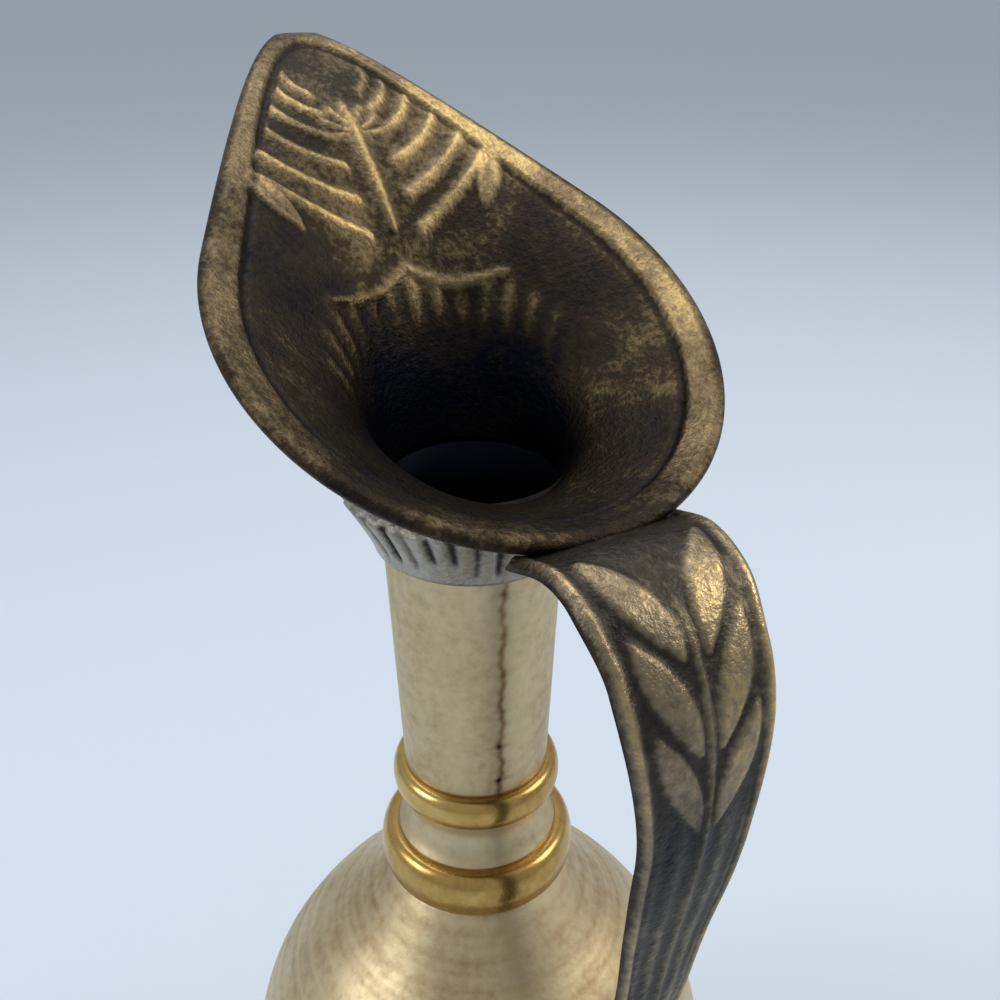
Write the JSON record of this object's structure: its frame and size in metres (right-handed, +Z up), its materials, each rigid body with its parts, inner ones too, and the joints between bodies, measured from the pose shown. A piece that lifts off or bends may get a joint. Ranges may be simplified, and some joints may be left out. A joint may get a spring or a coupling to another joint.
{
  "type": "ewer",
  "caption": "Pouring ewer with a leaf-shaped mouth, fluted collar, tapered neck between turned rings, round body, flared foot and cast strap handle.",
  "frame": {"origin": "on the vessel's axis, in the plane of the foot's underside", "axes": "+Z up along the axis; the spout points to -X and the handle stands on +X; the object mirrors in the plane y = 0"},
  "size_m": [0.1252, 0.092, 0.2578],
  "materials": {
    "spun_brass": "satin, lightly tarnished",
    "ring_brass": "polished",
    "filed_brass": "filed, greyed",
    "cast_brass": "dark patina, rubbed bright on the high places"
  },
  "bodies": {
    "root": {"base_plate": "spun_brass", "foot": "spun_brass", "foot_spigot": "spun_brass", "foot_knop": "ring_brass", "body_lower": "spun_brass", "body_upper": "spun_brass", "seam_band_inside": "spun_brass", "neck_spigot": "spun_brass", "shoulder_ring": "ring_brass", "neck_waist": "spun_brass", "neck_ring": "ring_brass", "neck_tube": "spun_brass", "fluted_collar": "filed_brass", "mouth": "cast_brass", "handle": "cast_brass"}
  },
  "joints": []
}
